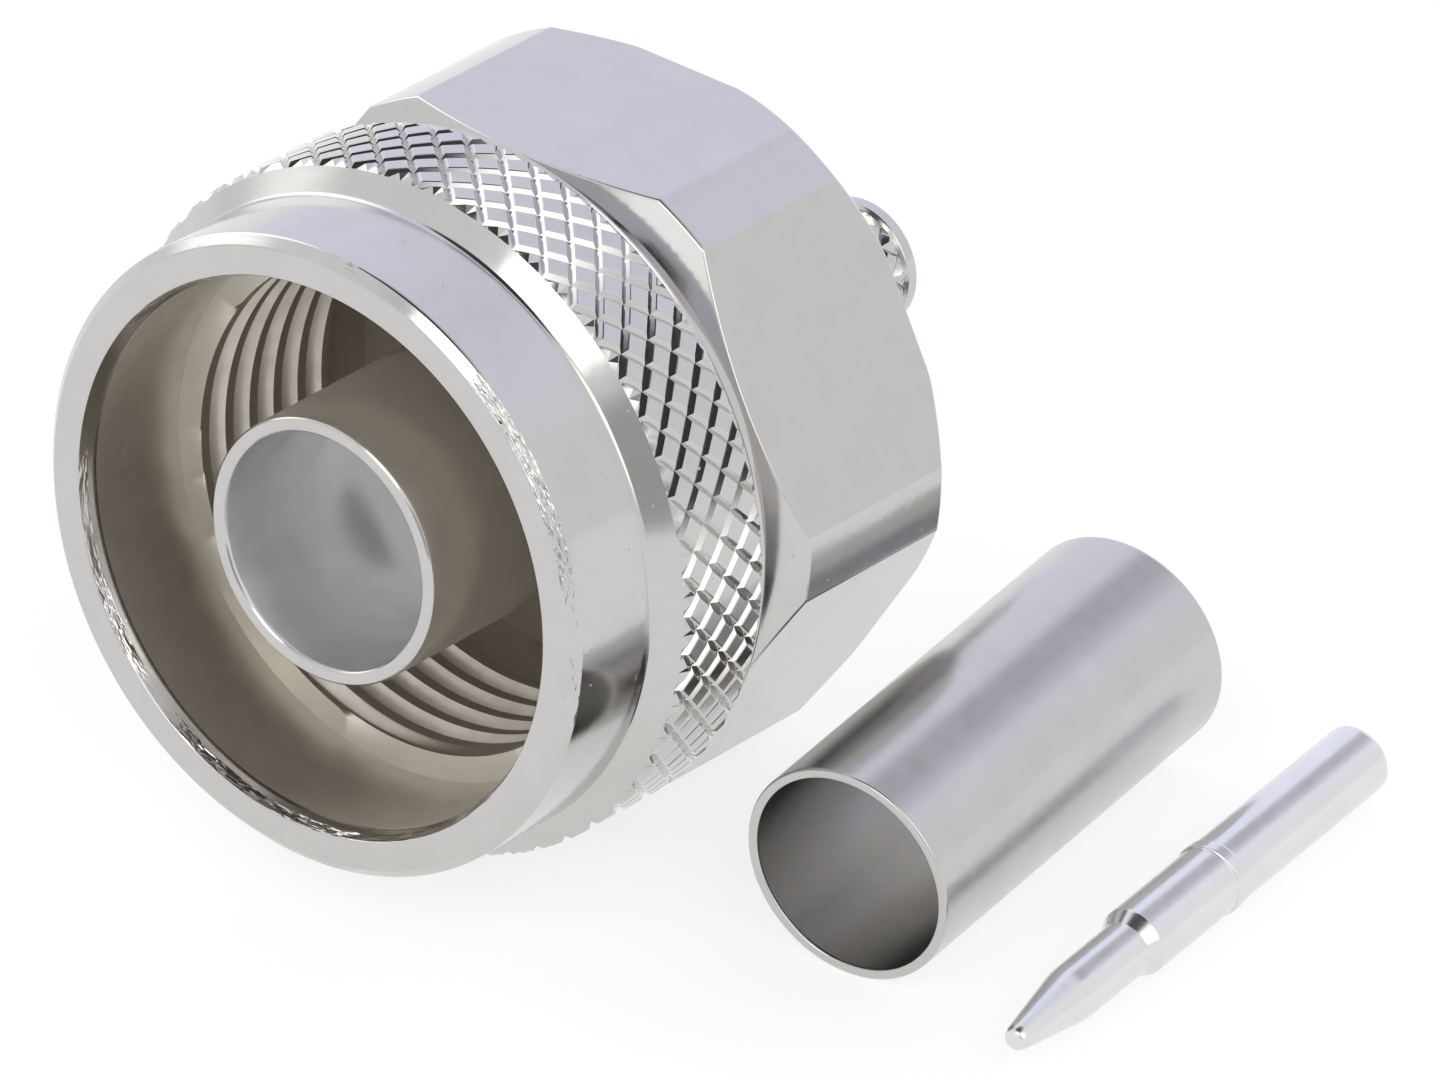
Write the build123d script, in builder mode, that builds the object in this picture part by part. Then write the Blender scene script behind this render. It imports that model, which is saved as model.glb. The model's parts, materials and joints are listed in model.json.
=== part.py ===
"""Type N coaxial plug for crimping onto a thin cable, supplied as a set.

The plug lies on its side: the knurled ring and one flat of the hexagon touch the table,
so its axis dips a few degrees towards the cable end. The crimp ferrule and the centre
contact are still loose and lie beside it. Millimetres, +Z up, the table is z = 0 and the
origin is the middle of the set's footprint. The mating ends face -Y.

Depths are measured along the plug's axis from the coupling nut's front rim.
"""

import os
from math import atan2, cos, pi, radians, sin, tan

from build123d import *

# Coupling nut, outside
rim_chamfer = 0.3
barrel_diameter = 19.1
barrel_length = 3.35
knurl_diameter = 20.7
knurl_depth = 0.24
knurl_flat = 0.5
knurl_end_height = 0.05
knurl_ring_depth = 0.5
knurl_core_depth = 0.1
knurl_core_bevel = 0.2
knurl_ramp = 0.6
knurl_length = 3.5
knurl_count = 54
knurl_rows = 6
lip_length = 0.15
lip_drop = 0.12
lip_bevel = 0.05
neck_width = 1.08
neck_diameter = 18.7
hex_across_flats = 18.95
hex_corner_diameter = 20.85
hex_chamfer_width = 0.62
hex_length = 7.4
hex_rear_chamfer_width = 0.84
hex_rear_chamfer_depth = 0.79

# Coupling nut, inside
mouth_lead_in = 0.2
mouth_lead_in_depth = 0.5
mouth_diameter = 16.4
mouth_depth = 4.2
thread_run_in = 0.05
thread_minor_diameter = 14.9
thread_length = 5.95
relief_diameter = 16.4
rear_wall = 2.8
running_clearance = 0.05

# Outer contact
contact_recess = 0.6
contact_diameter = 8.0
contact_bore = 7.1
contact_edge = 0.1
gasket_seat_diameter = 8.5
gasket_seat_lead = 0.1
insulator_seat_bore = 6.6
insulator_seat_depth = 8.2
flange_diameter = 13.8
flange_thickness = 0.9
flange_clearance = 0.25
sleeve_diameter = 10.0
sleeve_length = 2.4
insulator_collar_diameter = 8.4

# Gasket
gasket_diameter = 14.2
gasket_thickness = 1.1
gasket_clearance = 0.05

# Body with its crimp stem
body_diameter = 12.8
body_past_nut = 0.4
body_edge = 0.4
stem_diameter = 3.96
stem_bore = 3.0
stem_length = 8.45
stem_edge = 0.1

# Snap ring that holds the nut on the body
ring_width = 0.8
ring_section = 0.85
ring_clearance = 0.12
ring_gap_angle = 24.0

# Insulator
insulator_set_back = 0.1
insulator_collar_length = 2.6
insulator_clearance = 0.03
pin_clearance = 0.05

# Centre contact
pin_tip_diameter = 0.7
pin_tip_rounding = 0.25
pin_diameter = 1.65
pin_body_diameter = 2.1
pin_ring_diameter = 2.22
pin_tail_diameter = 2.12
pin_taper_length = 2.77
pin_nose_length = 5.5
pin_shoulder_length = 0.41
pin_body_length = 3.7
pin_ring_length = 0.43
pin_tail_length = 7.14
pin_edge = 0.12
wire_bore = 1.0
wire_bore_depth = 4.5

# Crimp ferrule
ferrule_diameter = 6.64
ferrule_wall = 0.31
ferrule_length = 14.2
ferrule_edge = 0.08

# Places of the loose pieces on the table, and how far each is turned about Z
ferrule_gap = 0.61
ferrule_set_back = 6.0
ferrule_turn = 5.02
pin_gap = 3.35
pin_set_back = 5.02
pin_turn = 3.65

# Stations along the axis
knurl_start = barrel_length + knurl_ramp
knurl_end = knurl_start + knurl_length
lip_end = knurl_end + lip_length
hex_start = lip_end + neck_width
nut_length = hex_start + hex_length
wall_start = nut_length - rear_wall
flange_end = wall_start - flange_clearance
flange_start = flange_end - flange_thickness
gasket_start = flange_start - gasket_thickness
gasket_seat_start = gasket_start - gasket_seat_lead
sleeve_end = flange_end + sleeve_length
body_end = nut_length + body_past_nut
stem_end = body_end + stem_length
ring_middle = (wall_start + nut_length) / 2
ring_start = ring_middle - ring_width / 2 - ring_clearance
ring_end = ring_middle + ring_width / 2 + ring_clearance
thread_start = mouth_depth + thread_run_in
thread_end = thread_start + thread_length
collar_start = sleeve_end - insulator_collar_length
insulator_face_depth = insulator_seat_depth + insulator_set_back
touch_depth = knurl_end - knurl_flat * knurl_length / knurl_rows

# Half sizes
barrel_radius = barrel_diameter / 2
knurl_radius = knurl_diameter / 2
knurl_root_radius = knurl_radius - knurl_depth
knurl_core_radius = knurl_root_radius - knurl_core_depth
lip_radius = knurl_radius - lip_drop
neck_radius = neck_diameter / 2
hex_apothem = hex_across_flats / 2
hex_corner_radius = hex_corner_diameter / 2
contact_radius = contact_diameter / 2
contact_bore_radius = contact_bore / 2
gasket_seat_radius = gasket_seat_diameter / 2
insulator_seat_radius = insulator_seat_bore / 2
insulator_radius = insulator_seat_radius - insulator_clearance
body_radius = body_diameter / 2
ferrule_radius = ferrule_diameter / 2
pin_radius = pin_body_diameter / 2
pin_ring_radius = pin_ring_diameter / 2
thread_radius = thread_minor_diameter / 2
collar_radius = insulator_collar_diameter / 2 - insulator_clearance
stem_radius = stem_diameter / 2
ring_inner_radius = body_radius - ring_section / 2
body_groove_radius = ring_inner_radius - ring_clearance
nut_groove_radius = ring_inner_radius + ring_section + ring_clearance

# How the plug lies: the last of the knurl's crests and the hexagon's rear edge touch the table
dip = atan2(knurl_radius - hex_apothem, nut_length - touch_depth)
rim_height = touch_depth * sin(dip) + knurl_radius * cos(dip)

# Places of the loose pieces beside the plug, measured from the middle of the rim
ferrule_x = hex_corner_radius + ferrule_gap + ferrule_radius
pin_x = ferrule_x + ferrule_radius + pin_gap
pin_body_start = pin_nose_length + pin_shoulder_length
pin_body_end = pin_body_start + pin_body_length
pin_ring_end = pin_body_end + pin_ring_length
pin_length = pin_ring_end + pin_tail_length

# The middle of the set's footprint
pin_right = pin_x + pin_radius * cos(radians(pin_turn)) - pin_body_start * sin(radians(pin_turn))
rim_front = (barrel_radius - rim_chamfer) * sin(dip)
stem_back = stem_end * cos(dip) + (stem_radius - stem_edge) * sin(dip)
middle_x = (pin_right - hex_corner_radius) / 2
middle_y = (stem_back - rim_front) / 2

# The plug's axis, and a plane through it whose x is depth and whose y is radius
rim = Vector(-middle_x, -middle_y, rim_height)
along = Vector(0, cos(dip), -sin(dip))
plug_axis = Axis(rim, along)
plug_side = Plane(origin=rim, x_dir=along, z_dir=(1, 0, 0))


def plug_face(depth):
    """The plane square to the plug's axis at a depth, with a flat's direction as its y."""
    return Plane(origin=rim + along * depth, x_dir=(1, 0, 0), z_dir=along)


def knurl_point(turn, depth, radius):
    """A corner of the knurl, kept inside the bevels at both ends of the band."""
    bevel = knurl_root_radius + min(depth - knurl_start, knurl_end - depth) + knurl_end_height
    reach = min(radius, bevel)
    return plug_face(depth).from_local_coords((reach * cos(turn), reach * sin(turn), 0))


def diamond(row, step):
    """One blunt diamond of the knurl: a flat top and a flank down to each groove."""
    half_turn = pi / knurl_count
    half_row = knurl_length / knurl_rows
    turn = (2 * step + row % 2) * half_turn
    depth = knurl_start + row * half_row
    sides = [(1, 0), (0, 1), (-1, 0), (0, -1)]
    if row == 0:
        sides = [(1, 0), (0, 1), (-1, 0)]
    if row == knurl_rows:
        sides = [(-1, 0), (0, -1), (1, 0)]
    root = []
    top = []
    for i, j in sides:
        root.append(knurl_point(turn + i * half_turn, depth + j * half_row, knurl_root_radius))
        inner_turn = turn + i * knurl_flat * half_turn
        top.append(knurl_point(inner_turn, depth + j * knurl_flat * half_row, knurl_radius))
    corners = [(top[0], top[1], top[2])]
    if len(sides) == 4:
        corners.append((top[2], top[3], top[0]))
    for k in range(len(sides) if len(sides) == 4 else 2):
        m = (k + 1) % len(sides)
        corners.append((root[k], root[m], top[k]))
        corners.append((root[m], top[m], top[k]))
    return [Face(Wire.make_polygon(three)) for three in corners]


def knurl_band():
    """The knurled band as a closed ring, with its inner wall buried in the nut."""
    half_turn = pi / knurl_count
    inner_radius = knurl_root_radius - knurl_ring_depth
    faces = []
    for row in range(knurl_rows + 1):
        for step in range(knurl_count):
            faces.extend(diamond(row, step))
    inner_rims = []
    for row, depth in ((0, knurl_start), (knurl_rows, knurl_end)):
        outline = []
        inner = []
        for step in range(knurl_count):
            turn = (2 * step + row % 2) * half_turn
            outline.append(knurl_point(turn - half_turn, depth, knurl_root_radius))
            outline.append(knurl_point(turn - knurl_flat * half_turn, depth, knurl_radius))
            outline.append(knurl_point(turn + knurl_flat * half_turn, depth, knurl_radius))
            inner.append(knurl_point(2 * step * half_turn, depth, inner_radius))
        faces.append(Face(Wire.make_polygon(outline), [Wire.make_polygon(inner)]))
        inner_rims.append(inner)
    front, back = inner_rims
    for k in range(knurl_count):
        m = (k + 1) % knurl_count
        faces.append(Face(Wire.make_polygon([front[k], front[m], back[m], back[k]])))
    return Solid(Shell(faces))


# Coupling nut: turned barrel, neck and hexagon, then the bore, then the knurled band
with BuildPart() as coupling_nut:
    with BuildSketch(plug_face(hex_start)):
        RegularPolygon(hex_apothem, 6, major_radius=False)
    extrude(amount=hex_length)
    with BuildSketch(plug_side):
        with BuildLine():
            Polyline(
                (hex_start, 0),
                (hex_start, neck_radius),
                (hex_start + hex_chamfer_width, hex_corner_radius),
                (nut_length - hex_rear_chamfer_width, hex_corner_radius),
                (nut_length, hex_corner_radius - hex_rear_chamfer_depth),
                (nut_length, 0),
                close=True,
            )
        make_face()
    revolve(axis=plug_axis, mode=Mode.INTERSECT)
    with BuildSketch(plug_side):
        with BuildLine():
            Polyline(
                (0, 0),
                (0, barrel_radius - rim_chamfer),
                (rim_chamfer, barrel_radius),
                (barrel_length, barrel_radius),
                (knurl_start, knurl_root_radius + knurl_end_height),
                (knurl_start + knurl_core_bevel, knurl_core_radius),
                (knurl_end - knurl_core_bevel, knurl_core_radius),
                (knurl_end, knurl_root_radius + knurl_end_height),
                (knurl_end, lip_radius),
                (lip_end - lip_bevel, lip_radius),
                (lip_end, lip_radius - lip_bevel),
                (lip_end, neck_radius),
                (hex_start, neck_radius),
                (hex_start, 0),
                close=True,
            )
        make_face()
    revolve(axis=plug_axis)
    with BuildSketch(plug_side):
        with BuildLine():
            Polyline(
                (0, 0),
                (0, mouth_diameter / 2 + mouth_lead_in),
                (mouth_lead_in_depth, mouth_diameter / 2),
                (mouth_depth, mouth_diameter / 2),
                (thread_start, thread_radius),
                (thread_end, thread_radius),
                (thread_end, relief_diameter / 2),
                (wall_start, relief_diameter / 2),
                (wall_start, body_radius + running_clearance),
                (ring_start, body_radius + running_clearance),
                (ring_start, nut_groove_radius),
                (ring_end, nut_groove_radius),
                (ring_end, body_radius + running_clearance),
                (nut_length, body_radius + running_clearance),
                (nut_length, 0),
                close=True,
            )
        make_face()
    revolve(axis=plug_axis, mode=Mode.SUBTRACT)
    add(knurl_band())
coupling_nut.part.label = "coupling_nut"


# Outer contact: the front tube, its flange and the sleeve pressed into the body
with BuildPart() as outer_contact:
    with BuildSketch(plug_side):
        with BuildLine():
            Polyline(
                (contact_recess, contact_bore_radius + contact_edge),
                (contact_recess, contact_radius - contact_edge),
                (contact_recess + contact_edge, contact_radius),
                (gasket_seat_start, contact_radius),
                (gasket_seat_start, gasket_seat_radius),
                (flange_start, gasket_seat_radius),
                (flange_start, flange_diameter / 2),
                (flange_end, flange_diameter / 2),
                (flange_end, sleeve_diameter / 2),
                (sleeve_end, sleeve_diameter / 2),
                (sleeve_end, insulator_collar_diameter / 2),
                (collar_start, insulator_collar_diameter / 2),
                (collar_start, insulator_seat_radius),
                (insulator_seat_depth, insulator_seat_radius),
                (insulator_seat_depth, contact_bore_radius),
                (contact_recess + contact_edge, contact_bore_radius),
                close=True,
            )
        make_face()
    revolve(axis=plug_axis)
outer_contact.part.label = "outer_contact"


# Gasket: a soft ring round the tube, against the flange
with BuildPart() as gasket:
    with BuildSketch(plug_side):
        with BuildLine():
            Polyline(
                (gasket_start, gasket_seat_radius + gasket_clearance),
                (gasket_start, gasket_diameter / 2),
                (flange_start, gasket_diameter / 2),
                (flange_start, gasket_seat_radius + gasket_clearance),
                close=True,
            )
        make_face()
    revolve(axis=plug_axis)
gasket.part.label = "gasket"


# Insulator: a plastic bead in the tube, its collar held between the tube and the body
with BuildPart() as insulator:
    with BuildSketch(plug_side):
        with BuildLine():
            Polyline(
                (insulator_face_depth, pin_ring_radius + pin_clearance),
                (insulator_face_depth, insulator_radius),
                (collar_start + insulator_clearance, insulator_radius),
                (collar_start + insulator_clearance, collar_radius),
                (sleeve_end, collar_radius),
                (sleeve_end, pin_ring_radius + pin_clearance),
                close=True,
            )
        make_face()
    revolve(axis=plug_axis)
insulator.part.label = "insulator"


# Body: the seat of the outer contact in front, the crimp stem for the cable behind
with BuildPart() as body:
    with BuildSketch(plug_side):
        with BuildLine():
            Polyline(
                (flange_end, sleeve_diameter / 2),
                (flange_end, body_radius),
                (ring_start, body_radius),
                (ring_start, body_groove_radius),
                (ring_end, body_groove_radius),
                (ring_end, body_radius),
                (body_end - body_edge, body_radius),
                (body_end, body_radius - body_edge),
                (body_end, stem_radius),
                (stem_end - stem_edge, stem_radius),
                (stem_end, stem_radius - stem_edge),
                (stem_end, stem_bore / 2),
                (sleeve_end, stem_bore / 2),
                (sleeve_end, sleeve_diameter / 2),
                close=True,
            )
        make_face()
    revolve(axis=plug_axis)
body.part.label = "body"


# Snap ring: an open ring that sits in the body's groove and reaches into the nut's groove
with BuildPart() as snap_ring:
    with BuildSketch(plug_face(ring_middle - ring_width / 2)):
        Circle(ring_inner_radius + ring_section)
        Circle(ring_inner_radius, mode=Mode.SUBTRACT)
        with BuildLine():
            Polyline(
                (0, 0),
                (2 * body_radius, -2 * body_radius * tan(radians(ring_gap_angle / 2))),
                (2 * body_radius, 2 * body_radius * tan(radians(ring_gap_angle / 2))),
                close=True,
            )
        make_face(mode=Mode.SUBTRACT)
    extrude(amount=ring_width)
snap_ring.part.label = "snap_ring"


# Crimp ferrule: a plain thin tube, lying on the table
ferrule_along = Vector(-sin(radians(ferrule_turn)), cos(radians(ferrule_turn)), 0)
ferrule_front = Vector(ferrule_x - middle_x, ferrule_set_back - middle_y, ferrule_radius)
with BuildPart() as crimp_ferrule:
    with BuildSketch(Plane(origin=ferrule_front, x_dir=(0, 0, 1), z_dir=ferrule_along)):
        Circle(ferrule_radius)
        Circle(ferrule_radius - ferrule_wall, mode=Mode.SUBTRACT)
    extrude(amount=ferrule_length)
    fillet(crimp_ferrule.edges().filter_by(GeomType.CIRCLE), ferrule_edge)
crimp_ferrule.part.label = "crimp_ferrule"


# Centre contact: tapered nose, shoulder, body, a ring that rests on the table, and the tail
# with the wire's hole
pin_along = Vector(-sin(radians(pin_turn)), cos(radians(pin_turn)), 0)
pin_front = Vector(pin_x - middle_x, pin_set_back - middle_y, pin_ring_radius)
with BuildPart() as centre_contact:
    with BuildSketch(Plane(origin=pin_front, x_dir=pin_along, z_dir=(0, 0, 1))):
        with BuildLine():
            RadiusArc(
                (0, pin_tip_diameter / 2 - pin_tip_rounding),
                (pin_tip_rounding, pin_tip_diameter / 2),
                pin_tip_rounding,
            )
            Polyline(
                (pin_tip_rounding, pin_tip_diameter / 2),
                (pin_taper_length, pin_diameter / 2),
                (pin_nose_length, pin_diameter / 2),
                (pin_body_start, pin_radius),
                (pin_body_end, pin_radius),
                (pin_body_end, pin_ring_radius),
                (pin_ring_end - pin_edge, pin_ring_radius),
                (pin_ring_end, pin_tail_diameter / 2),
                (pin_length - pin_edge, pin_tail_diameter / 2),
                (pin_length, pin_tail_diameter / 2 - pin_edge),
                (pin_length, wire_bore / 2),
                (pin_length - wire_bore_depth, wire_bore / 2),
                (pin_length - wire_bore_depth, 0),
                (0, 0),
                (0, pin_tip_diameter / 2 - pin_tip_rounding),
            )
        make_face()
    revolve(axis=Axis(pin_front, pin_along))
centre_contact.part.label = "centre_contact"


os.makedirs("parts", exist_ok=True)
export_step(coupling_nut.part, "parts/coupling_nut.step")
export_step(outer_contact.part, "parts/outer_contact.step")
export_step(gasket.part, "parts/gasket.step")
export_step(insulator.part, "parts/insulator.step")
export_step(body.part, "parts/body.step")
export_step(snap_ring.part, "parts/snap_ring.step")
export_step(crimp_ferrule.part, "parts/crimp_ferrule.step")
export_step(centre_contact.part, "parts/centre_contact.step")
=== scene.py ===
"""Looks of a coaxial crimp plug that lies beside its loose ferrule and centre contact.

Every turned piece is built in a frame of its own: z runs along its axis from its front end,
x is the world's x turned with the piece, and all sizes are in millimetres until a piece is
placed. The plug's own axis is the joint that its coupling nut spins on.
"""

import json
from collections import namedtuple
from math import acos, atan2, ceil, cos, floor, pi, radians, sin

import bmesh
import bpy
from mathutils import Matrix, Vector


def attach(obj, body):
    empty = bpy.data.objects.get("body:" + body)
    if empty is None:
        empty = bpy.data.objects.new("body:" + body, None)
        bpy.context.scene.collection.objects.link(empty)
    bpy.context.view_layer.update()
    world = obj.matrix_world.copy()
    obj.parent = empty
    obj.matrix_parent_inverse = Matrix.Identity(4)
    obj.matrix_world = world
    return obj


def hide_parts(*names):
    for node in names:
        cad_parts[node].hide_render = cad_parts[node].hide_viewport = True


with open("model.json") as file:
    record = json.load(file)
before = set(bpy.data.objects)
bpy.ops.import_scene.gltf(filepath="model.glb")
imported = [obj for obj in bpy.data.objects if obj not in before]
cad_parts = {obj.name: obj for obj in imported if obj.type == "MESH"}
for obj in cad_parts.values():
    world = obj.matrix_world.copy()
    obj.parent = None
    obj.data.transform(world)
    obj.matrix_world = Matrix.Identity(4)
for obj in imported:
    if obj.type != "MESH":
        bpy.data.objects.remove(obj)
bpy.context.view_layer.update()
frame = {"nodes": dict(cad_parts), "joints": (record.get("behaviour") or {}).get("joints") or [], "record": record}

MM = 0.001
PICTURE_WIDTH = 1440
PICTURE_HEIGHT = 1080
UP = Vector((0, 0, 1))
FULL_TURN = 2 * pi

# Viewpoint of the photograph, and where the middle of the nut's rim stands in it
CAMERA_AZIMUTH = 39.01
CAMERA_ELEVATION = 33.172
CAMERA_ROLL = -0.228
FOCAL_PIXELS = 20000
PIXELS_PER_MM = 36.017
RIM_PIXEL = (307.67, 559.76)
SENSOR_WIDTH = 36
CAMERA_CLIP_START = 0.01

# Coupling nut, outside
RIM_CHAMFER = 0.3
BARREL_RADIUS = 9.55
BARREL_LENGTH = 3.35
LIP_LENGTH = 0.15
LIP_RADIUS = 10.23
LIP_BEVEL = 0.05
NECK_RADIUS = 9.35
HEX_START = 8.68
HEX_APOTHEM = 9.475
HEX_CORNER_RADIUS = 10.425
HEX_CHAMFER_WIDTH = 0.62
HEX_REAR_CHAMFER_WIDTH = 0.84
HEX_REAR_RADIUS = 9.635
HEX_EDGE = 0.05
NUT_LENGTH = 16.08

# Knurls: blunt diamonds on the nut, fine ones on the crimp stem
Knurl = namedtuple("Knurl", "count rows start length crest depth flat end_height edge")
NUT_KNURL = Knurl(54, 6, 3.95, 3.5, 10.35, 0.15, 0.66, 0.01, 0.04)
KNURL_END = NUT_KNURL.start + NUT_KNURL.length
LIP_END = KNURL_END + LIP_LENGTH

# Coupling nut, inside
MOUTH_RADIUS = 8.2
MOUTH_LEAD_IN = 0.2
MOUTH_LEAD_IN_DEPTH = 0.5
MOUTH_DEPTH = 4.2
THREAD_MINOR_RADIUS = 7.45
THREAD_MAJOR_RADIUS = 7.92
THREAD_RUN_IN = 0.05
THREAD_END = 10.2
THREAD_PITCH = 1.058
THREAD_SHIFT = 0.255
THREAD_START_TURN = 0.15
THREAD_FADE_TURN = 0.2
THREAD_PHASES = (0.0, 0.05, 0.09, 0.2, 0.3, 0.33, 0.36, 0.5, 0.64, 0.67, 0.7, 0.8, 0.91, 0.95)
GROOVE_HALF_WIDTH = 0.335
GROOVE_FLANK = 0.267
RELIEF_RADIUS = 8.2
RELIEF_RUN = 0.05
WALL_START = 13.28
WALL_RADIUS = 6.45
WALL_EDGE = 0.1

# Outer contact, insulator, gasket and body, from the front
TUBE_FRONT = 0.6
TUBE_RADIUS = 4.0
TUBE_BORE = 3.55
TUBE_EDGE = 0.08
BEAD_SEAT_START = 8.2
BEAD_SEAT_RADIUS = 3.3
GASKET_SEAT_START = 10.93
GASKET_SEAT_RADIUS = 4.25
FLANGE_START = 12.13
FLANGE_END = 13.03
FLANGE_RADIUS = 6.9
SLEEVE_END = 15.43
SLEEVE_RADIUS = 5.0
COLLAR_START = 12.83
COLLAR_RADIUS = 4.2
BODY_RADIUS = 6.4
BODY_END = 16.48
BODY_EDGE = 0.35
STEM_RADIUS = 1.98
STEM_BORE = 1.5
STEM_END = 24.93
STEM_ROOT = 0.4
STEM_LIP = 0.5
STEM_LIP_DROP = 0.03
STEM_KNURL_START = BODY_END + STEM_ROOT
STEM_KNURL_LENGTH = STEM_END - STEM_LIP - STEM_KNURL_START
STEM_KNURL = Knurl(12, 15, STEM_KNURL_START, STEM_KNURL_LENGTH, STEM_RADIUS, 0.16, 0.4, 0.04, 0.08)

# Loose pieces
FERRULE_RADIUS = 3.32
FERRULE_BORE = 3.01
FERRULE_LENGTH = 14.2
FERRULE_EDGE = 0.1
PIN_TIP_RADIUS = 0.35
PIN_TIP_ROUNDING = 0.3
PIN_NOSE_RADIUS = 0.825
PIN_BODY_RADIUS = 1.05
PIN_RING_RADIUS = 1.11
PIN_TAIL_RADIUS = 1.06
PIN_TAIL_ROUNDING = 0.15
PIN_TAPER = 2.77
PIN_NOSE = 5.5
PIN_SHOULDER = 0.41
PIN_BODY = 3.7
PIN_RING = 0.43
PIN_TAIL = 7.14
PIN_WIRE_BORE = 0.5
PIN_WIRE_DEPTH = 4.5

# Roundings of small edges
FINE_EDGE = 0.03
SMALL_EDGE = 0.05
INNER_CORNER = 0.1

# Mesh detail; the runs place a row just past a rounding, so that the faces beside it shade flat
TURN_STEPS = 216
ARC_STEPS = 4
ARC_RUN = 1.1
ARC_SHARE = 0.45
HEX_FLAT_STEPS = 12
HEX_LAND_STEPS = 4
HEX_EDGE_TURN = radians(0.45)
HEX_EDGE_SHARE = 1 / 3
HEX_EDGE_CUT = 1 / 4
HEX_EDGE_RUN = 1.6
JOIN_GAP = 0.1
WELD = 2e-5
TINY = 1e-9
SHARP_ANGLE = radians(38)
CRISP_ANGLE = radians(12)

# Material slots of the skins: outside, inside, knurls, whose facets stay crisp, and one more for
# the nut's relief and the contact's front face
OUTSIDE = 0
INSIDE = 1
CRISP = 2
EXTRA = 3

# Colours of the finishes
NICKEL = (0.575, 0.565, 0.545)
DULL_NICKEL = (0.63, 0.595, 0.53)
# Painted light: a lighter copy of the nickel for the outer contact, lifting its shade inside the nut's mouth
TUBE_PAINTED_LIGHT_NICKEL = (0.8, 0.76, 0.7)
# Painted light: a lighter copy of the nickel for the nut's relief and rear bore, lifting the shade inside the nut
RELIEF_PAINTED_LIGHT_NICKEL = (0.92, 0.85, 0.76)
BRIGHT_NICKEL = (0.76, 0.755, 0.75)
# Painted light: a light copy of the nickel for the contact's bore, lifting the shade deep inside it
BORE_PAINTED_LIGHT_NICKEL = (0.86, 0.855, 0.85)
BEAD_WHITE = (0.95, 0.945, 0.93)
RUBBER_BROWN = (0.36, 0.31, 0.26)

# Grain of the finishes, in waves per metre, and how high it stands in metres
NICK_SCALE = 2600
NICK_RANGE = (0.7, 0.77)
WAVE_SCALE = 420
WAVE_HEIGHT = 0.0004
MARK_SCALE = 9000
MARK_HEIGHT = 0.00004
GLOSS_SCALE = 1500
GLOSS_SPREAD = (0.9, 1.12)
PATCH_SCALE = 700
PATCH_SHADE = 0.96
GRAIN_SCALE = 3000
GRAIN_SHADE = 0.9
NOISE_ROUGHNESS = 0.6
NOISE_DETAIL = 3
FINE_DETAIL = 4
MIDDLE_RANGE = (0.35, 0.65)

# Streaks on the rim's chamfers, where a radian of the rim counts as so many metres of grain
BURR_SCALE = 2200
BURR_RADIAN = 0.0024
BURR_HEIGHT = 0.00036
BURR_SPREAD_SCALE = 170
BURR_SPREAD_DETAIL = 1
BURR_SPREAD_RANGE = (0.47, 0.6)
BURR_START = (0.00001, 0.00003)
BURR_END = (0.00029, 0.00033)

# Platings: colour, roughness, how metallic, then strength of turning marks, waves, nicks, streaks
PLATING_DEFAULTS = (1.0, 0.02, 0.02, 0.3, 0.0)
Plating = namedtuple("Plating", "colour roughness metallic marks waves nicks burr", defaults=PLATING_DEFAULTS)
NUT_PLATING = Plating(NICKEL, 0.13, burr=1.0)
INNER_PLATING = Plating(DULL_NICKEL, 0.36, metallic=0.85, marks=0.01, nicks=0.1)
# Painted light: the relief's plating is lighter and nearly matt, so that the shade behind the thread comes out
# lighter
RELIEF_PAINTED_LIGHT_PLATING = Plating(RELIEF_PAINTED_LIGHT_NICKEL, 0.5, metallic=0.1, marks=0.01, nicks=0.1)
# Painted light: the tube's plating is lighter and less metallic than the nut's, so that it shows lighter in the
# shade of the mouth
TUBE_PAINTED_LIGHT_PLATING = Plating(TUBE_PAINTED_LIGHT_NICKEL, 0.31, metallic=0.85, marks=0.002, nicks=0.05)
# Painted light: the bore's plating is light and less metallic, so that the shade deep in the bore comes out
# lighter
BORE_PAINTED_LIGHT_PLATING = Plating(BORE_PAINTED_LIGHT_NICKEL, 0.2, metallic=0.85, marks=0.004, nicks=0.05)
STEM_PLATING = Plating(NICKEL, 0.14)
FERRULE_PLATING = Plating(NICKEL, 0.24, marks=0.001, waves=0.01, nicks=0.1)
PIN_PLATING = Plating(BRIGHT_NICKEL, 0.22, marks=0.001, nicks=0.1)
SPRING_PLATING = Plating(DULL_NICKEL, 0.32)

# Roughness and grain of the bead and the gasket
BEAD_ROUGHNESS = 0.45
BEAD_GRAIN = 0.1
RUBBER_ROUGHNESS = 0.55
RUBBER_GRAIN = 0.2

# The light tent: pale walls with patches, each with the cosines of its outer and its inner edge
Patch = namedtuple("Patch", "direction cosines colour")
TENT_WALLS = (0.95, 0.95, 0.97)
COOL_BACK = Patch((-0.45, 0.75, 0.45), (0.35, 0.8), (0.97, 0.98, 1.16))
LEFT_LAMP = Patch((-0.86, 0.1, 0.5), (0.9, 0.96), (1.9, 1.9, 1.9))
RIGHT_LAMP = Patch((0.78, -0.27, 0.57), (0.9, 0.96), (1.9, 1.9, 1.9))
FRONT_CORNER = Patch((0.65, -0.7, 0.27), (0.94, 0.98), (0.5, 0.5, 0.51))
GAP_LEFT = Patch((-0.17, 0.62, 0.765), (0.982, 0.997), (0.45, 0.45, 0.49))
GAP_MIDDLE = Patch((0.03, 0.63, 0.775), (0.982, 0.997), (0.4, 0.4, 0.44))
GAP_RIGHT = Patch((0.23, 0.61, 0.76), (0.982, 0.997), (0.45, 0.45, 0.49))
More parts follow.
